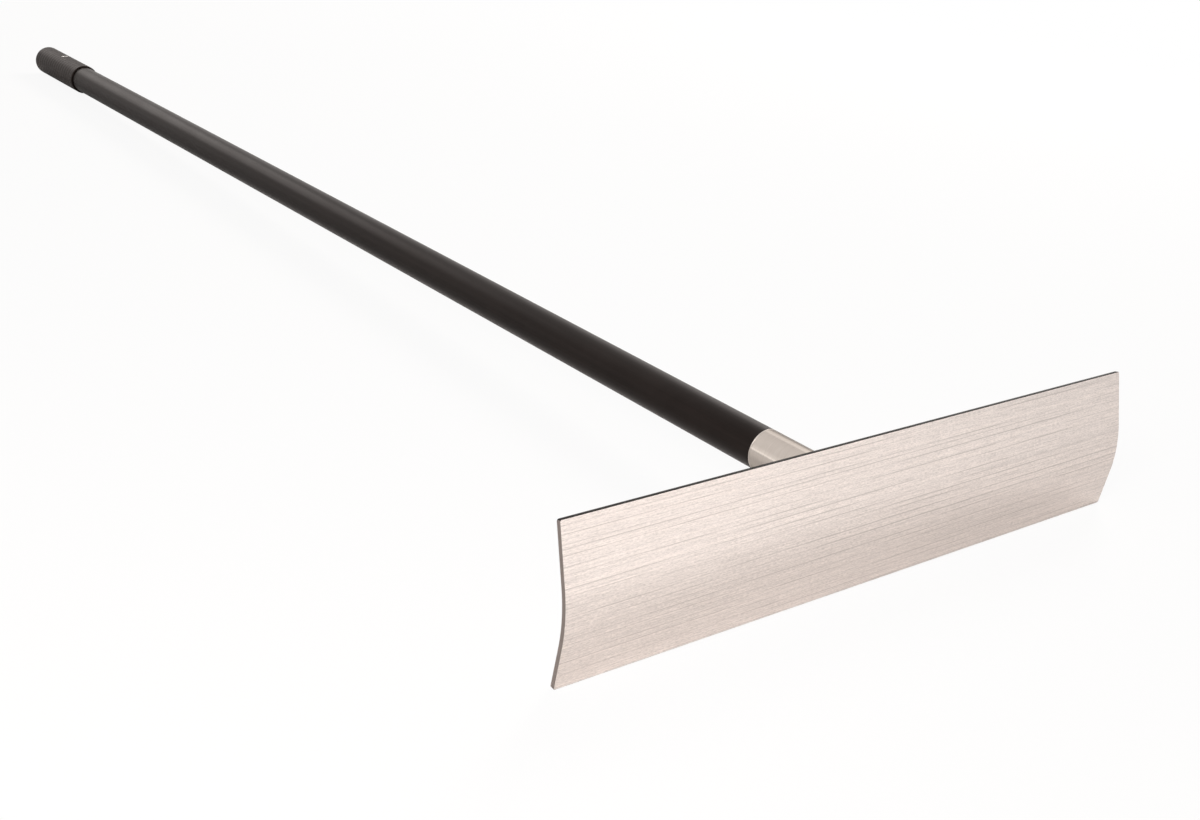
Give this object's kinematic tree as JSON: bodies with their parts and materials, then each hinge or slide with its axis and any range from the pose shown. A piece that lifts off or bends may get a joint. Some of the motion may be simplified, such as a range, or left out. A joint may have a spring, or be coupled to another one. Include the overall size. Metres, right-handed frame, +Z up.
{
  "type": "concrete placer",
  "caption": "Concrete placer: a wide, shallow-bent aluminium blade square to a long straight tube handle with a welded socket, a sleeve grip and a hang hole.",
  "frame": {"origin": "on the ground, under the middle of the tool as it lies on the blade's lower edge and the grip", "axes": "+X along the blade, +Y from the blade to the grip, +Z up"},
  "size_m": [0.508, 1.4944, 0.1028],
  "materials": {
    "blade_aluminium": "brushed lengthwise, bare",
    "socket_aluminium": "satin, turned, bare",
    "weld_metal": "bare weld bead",
    "black_tube": "satin black coating",
    "rivet_aluminium": "satin black",
    "rivet_steel": "dull zinc",
    "plug_plastic": "moulded, matte",
    "grip_vinyl": "matte, fine rings",
    "eyelet_steel": "bright zinc"
  },
  "bodies": {
    "root": {"blade": "blade_aluminium", "socket": "socket_aluminium", "socket_weld": "weld_metal", "handle_tube": "black_tube", "joint_rivets": "rivet_aluminium", "rivet_mandrels": "rivet_steel", "end_plug": "plug_plastic", "grip": "grip_vinyl", "hang_eyelet": "eyelet_steel", "eyelet_washer": "eyelet_steel"}
  },
  "joints": []
}
